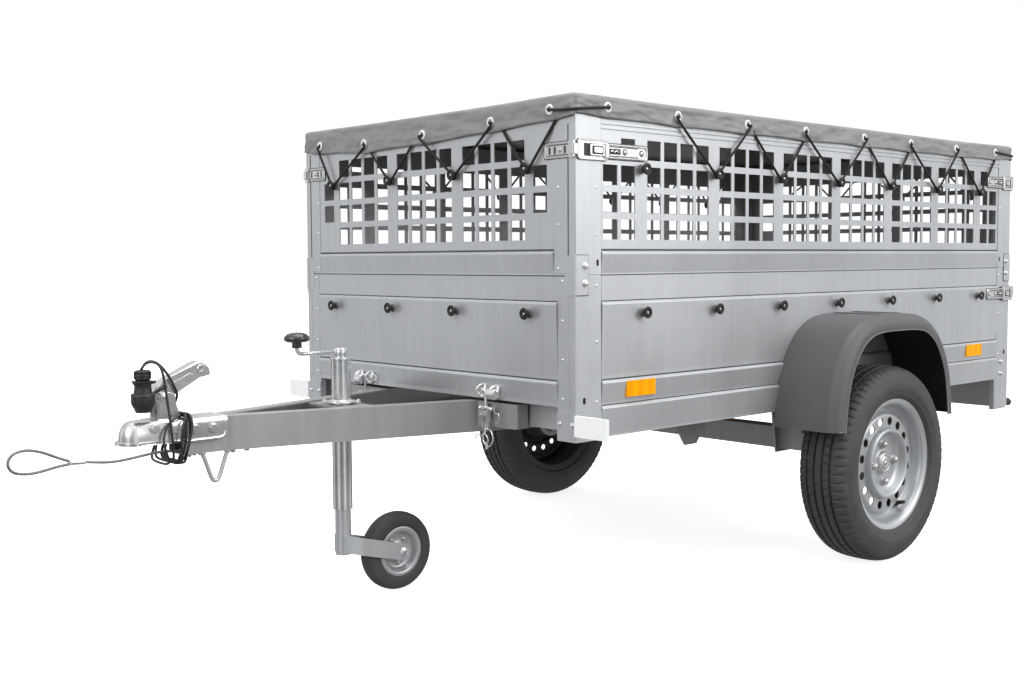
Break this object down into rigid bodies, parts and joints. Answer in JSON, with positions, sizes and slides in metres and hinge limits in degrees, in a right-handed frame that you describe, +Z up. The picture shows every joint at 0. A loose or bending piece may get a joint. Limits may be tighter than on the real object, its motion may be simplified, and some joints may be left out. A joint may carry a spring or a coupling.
{
  "type": "utility trailer",
  "caption": "Single-axle tipping utility trailer with a perforated upper wall, laced flat cover, drawbar and jockey wheel.",
  "frame": {"origin": "centre of the footprint at ground level, halfway between the coupling's nose and the rear buffers", "axes": "+X forward to the coupling, +Y to the trailer's left, +Z up"},
  "size_m": [3.1674, 1.506, 1.215],
  "materials": {
    "galvanised": "satin galvanised sheet",
    "zinc": "bright zinc-plated hardware",
    "tyre": "matt black rubber",
    "rim": "silver painted steel",
    "moulding": "dark grey moulded plastic",
    "black": "black plastic",
    "cover": "grey coated fabric",
    "amber": "amber reflector",
    "white": "white reflector",
    "lamp": "red lamp lens",
    "plywood": "dark phenolic plywood"
  },
  "bodies": {
    "chassis": {"drawbar_arms": "galvanised", "cross_member": "galvanised", "axle_beam": "galvanised", "swing_arms": "galvanised", "axle_brackets": "galvanised", "coupling_head": "zinc", "coupling_handle": "zinc", "jockey_tube": "zinc", "jockey_screw": "zinc", "jockey_crank": "zinc", "box_stops": "galvanised", "cable_guide": "zinc", "plug": "black", "near_lead": "black", "far_lead": "black", "lead_hank": "black", "rope": "zinc", "rope_loop": "zinc", "rope_ferrule": "zinc", "rope_clamp": "zinc"},
    "wheel_left": {"tyre_left": "tyre", "rim_left": "rim", "hub_left": "galvanised"},
    "wheel_right": {"tyre_right": "tyre", "rim_right": "rim", "hub_right": "galvanised"},
    "jockey_slide": {"jockey_nut": "zinc"},
    "jockey_leg": {"jockey_leg": "zinc"},
    "jockey_wheel": {"jockey_tyre": "tyre", "jockey_rim": "galvanised"},
    "box": {"floor_panel": "plywood", "side_wall_left": "galvanised", "side_wall_right": "galvanised", "side_rails": "galvanised", "front_wall": "galvanised", "corner_posts": "galvanised", "mesh_panel_left": "galvanised", "mesh_panel_right": "galvanised", "mesh_panel_front": "galvanised", "mesh_panel_rear": "galvanised", "tip_ears": "galvanised", "fender_left": "moulding", "fender_right": "moulding", "cover": "cover", "rear_board": "galvanised", "tail_lamps": "lamp", "plate_holder": "black", "rear_buffers": "black", "front_rails": "galvanised", "corner_plates": "galvanised", "gate_hinges": "zinc", "tip_latches": "zinc", "gate_latches": "zinc", "corner_latches": "zinc", "side_reflectors": "amber", "front_reflectors": "white"},
    "tailgate": {"tailgate": "galvanised", "gate_keepers": "zinc"}
  },
  "joints": [
    {"name": "wheel_left", "type": "hinge", "parent": "chassis", "child": "wheel_left", "pos_m": [-0.4306, 0.671, 0.2733], "axis": [0, 1, 0], "continuous": true},
    {"name": "wheel_right", "type": "hinge", "parent": "chassis", "child": "wheel_right", "pos_m": [-0.4306, -0.671, 0.2733], "axis": [0, 1, 0], "continuous": true},
    {"name": "box_tip", "type": "hinge", "parent": "chassis", "child": "box", "pos_m": [-0.46, 0, 0.352], "axis": [0, -1, 0], "range_deg": [0, 17]},
    {"name": "tailgate", "type": "hinge", "parent": "box", "child": "tailgate", "pos_m": [-1.45, 0, 0.51], "axis": [0, -1, 0], "range_deg": [0, 90]},
    {"name": "jockey_lift", "type": "slide", "parent": "chassis", "child": "jockey_slide", "axis": [0, 0, 1], "range_m": [-0.14, 0.05]},
    {"name": "jockey_swivel", "type": "hinge", "parent": "jockey_slide", "child": "jockey_leg", "pos_m": [0.892, 0, 0.3], "axis": [0, 0, 1], "continuous": true},
    {"name": "jockey_wheel", "type": "hinge", "parent": "jockey_leg", "child": "jockey_wheel", "pos_m": [0.732, 0, 0.1], "axis": [0, 1, 0], "continuous": true}
  ]
}
